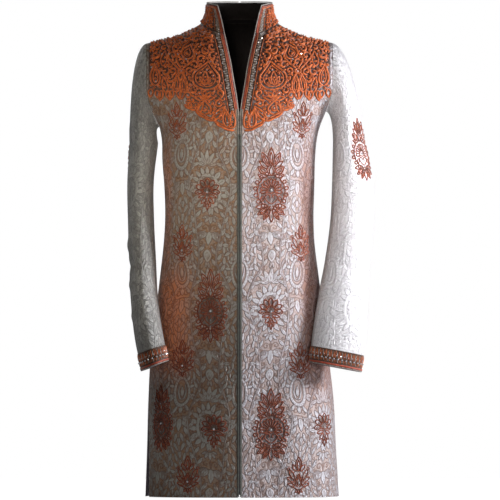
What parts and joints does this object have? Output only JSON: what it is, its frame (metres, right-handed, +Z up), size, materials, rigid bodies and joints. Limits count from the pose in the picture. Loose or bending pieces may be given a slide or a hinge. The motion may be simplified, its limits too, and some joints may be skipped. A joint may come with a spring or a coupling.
{
  "type": "sherwani coat",
  "caption": "Long brocade sherwani coat in worn form, open V with stand collar, corded embroidered yoke, cuffs and butas, side slits",
  "frame": {"origin": "centre of the neck's base, level with the points where the shoulder seams meet the neckline, where a wearer or a form holds the coat up", "axes": "+Z up along the coat's length, -Y the front with the V and the centre-front opening, +X the viewer's right when facing the front"},
  "size_m": [0.5676, 0.3464, 1.1323],
  "materials": {
    "brocade": "two-tone silk damask, silver-cream motifs on a copper ground, satin sheen",
    "lining": "pale mauve satin",
    "embroidery": "thick rust-orange corded thread with dark brown outlines",
    "stones": "small clear faceted stones and pale beads",
    "piping": "satin covered cord"
  },
  "bodies": {
    "root": {"front_left": "brocade", "back_left": "brocade", "sleeve_top_left": "brocade", "sleeve_under_left": "brocade", "cuff_left": "embroidery", "piping_left": "piping", "yoke_left": "embroidery", "palmette_sleeve_left": "embroidery", "front_right": "brocade", "back_right": "brocade", "sleeve_top_right": "brocade", "sleeve_under_right": "brocade", "cuff_right": "embroidery", "piping_right": "piping", "yoke_right": "embroidery", "palmette_sleeve_right": "embroidery", "collar": "embroidery", "palmette_chest": "embroidery", "palmette_waist": "embroidery", "palmette_skirt": "embroidery", "palmette_side": "embroidery", "fan_chest": "embroidery", "fan_waist": "embroidery", "fan_skirt": "embroidery", "fan_side": "embroidery", "lily_chest_left": "embroidery", "lily_chest_right": "embroidery", "lily_waist_left": "embroidery", "lily_waist_right": "embroidery", "lily_hip_left": "embroidery", "lily_hip_right": "embroidery", "lily_hem_left": "embroidery", "lily_hem_right": "embroidery"}
  },
  "joints": []
}
